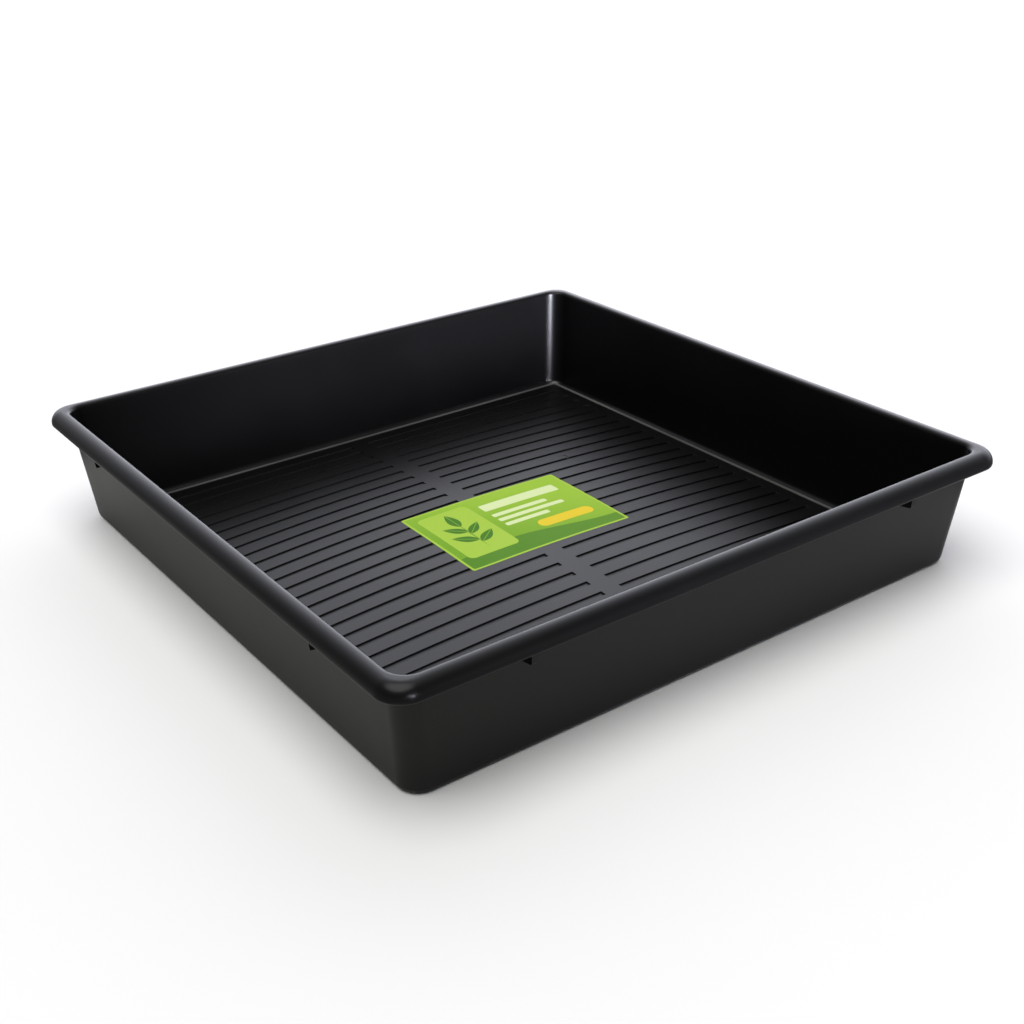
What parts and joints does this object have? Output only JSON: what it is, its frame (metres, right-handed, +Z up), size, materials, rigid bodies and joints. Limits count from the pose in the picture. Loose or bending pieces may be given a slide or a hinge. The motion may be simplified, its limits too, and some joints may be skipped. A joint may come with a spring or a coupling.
{
  "type": "garden tray",
  "caption": "Square shallow garden tray with drafted walls, a rolled rim and a crowned, grooved floor, for holding potting soil, pots or grow bags.",
  "frame": {"origin": "on the ground under the middle of the tray", "axes": "+Z up, +X along the floor grooves, +Y across them"},
  "size_m": [0.8, 0.8, 0.14],
  "materials": {
    "black_plastic": "satin black moulded polypropylene",
    "label_paper": "printed and varnished self-adhesive sheet"
  },
  "bodies": {
    "root": {"tray": "black_plastic", "label": "label_paper"}
  },
  "joints": []
}
